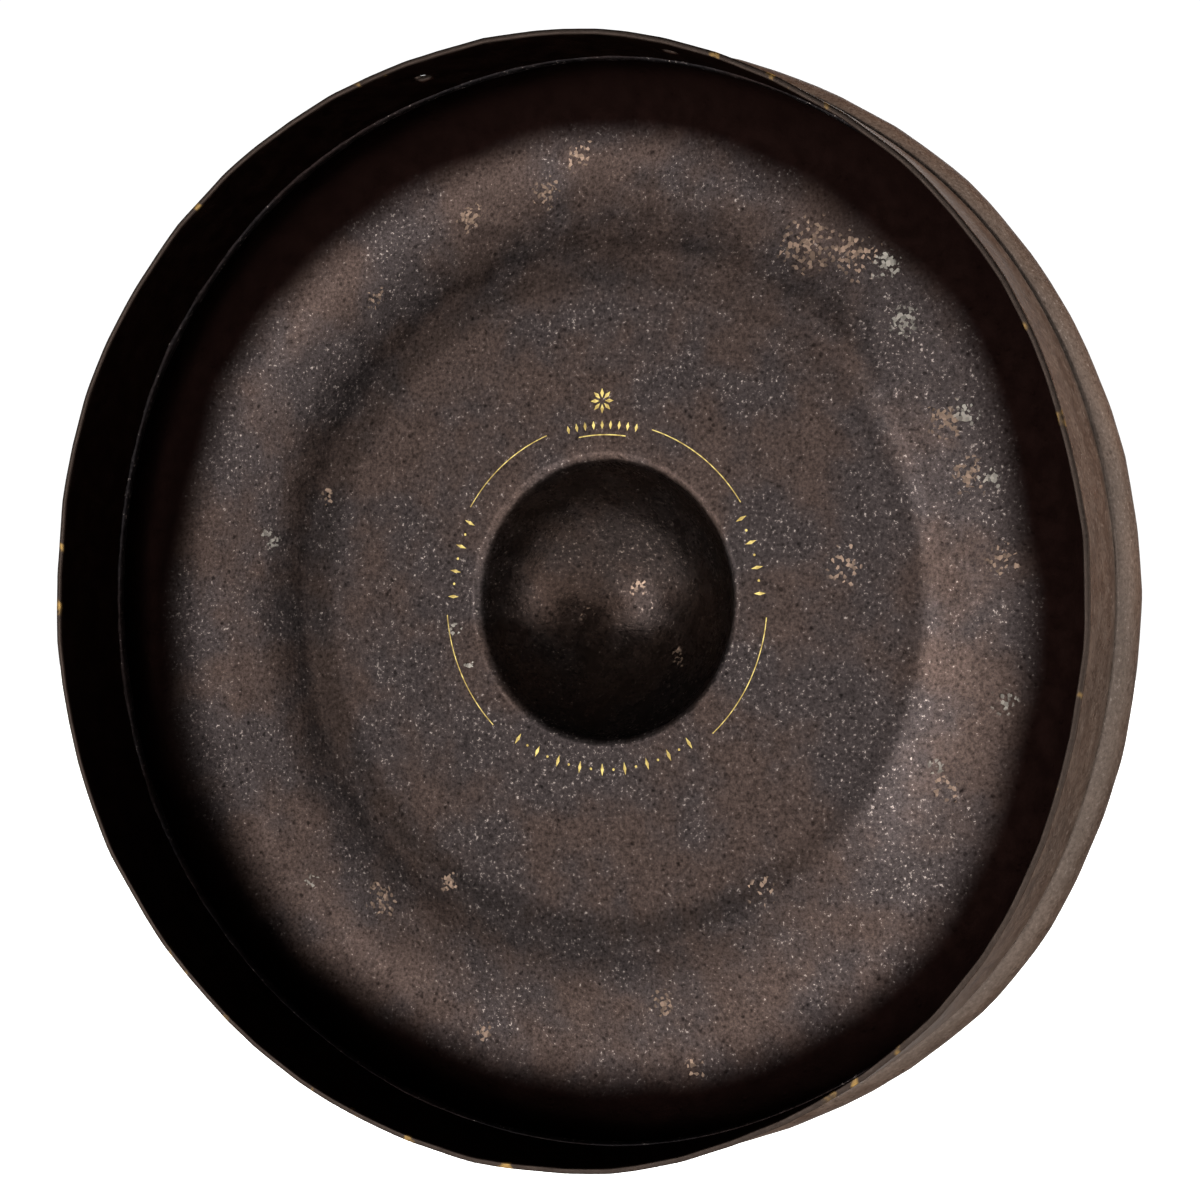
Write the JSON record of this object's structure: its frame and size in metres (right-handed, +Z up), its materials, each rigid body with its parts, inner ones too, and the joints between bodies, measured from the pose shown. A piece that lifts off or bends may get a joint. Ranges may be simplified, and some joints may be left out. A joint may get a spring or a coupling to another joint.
{
  "type": "boss gong",
  "caption": "Hanging bossed gong of dark hammered bronze: dished face with a hollow centre boss, brazed to a deep plain rim band with cord holes.",
  "frame": {"origin": "middle of the bounding box, on the gong's own axis", "axes": "+Y along the gong's axis, out of the front where the boss is; the open back faces -Y; +Z up as it hangs, with the cord holes at the top; +X to the right when looking into the open back"},
  "size_m": [0.5, 0.128, 0.5],
  "materials": {
    "face_bronze": "dark brown-grey patina over hammered bronze sheet",
    "band_bronze": "dark brown-grey patina over hammered bronze sheet, brighter where it is handled",
    "seam_braze": "dull braze bead, darkened with the sheet",
    "gold_print": "thin metallic gold print, slightly worn"
  },
  "bodies": {
    "root": {"gong_face": "face_bronze", "rim_band": "band_bronze", "rim_seam": "seam_braze"}
  },
  "joints": []
}
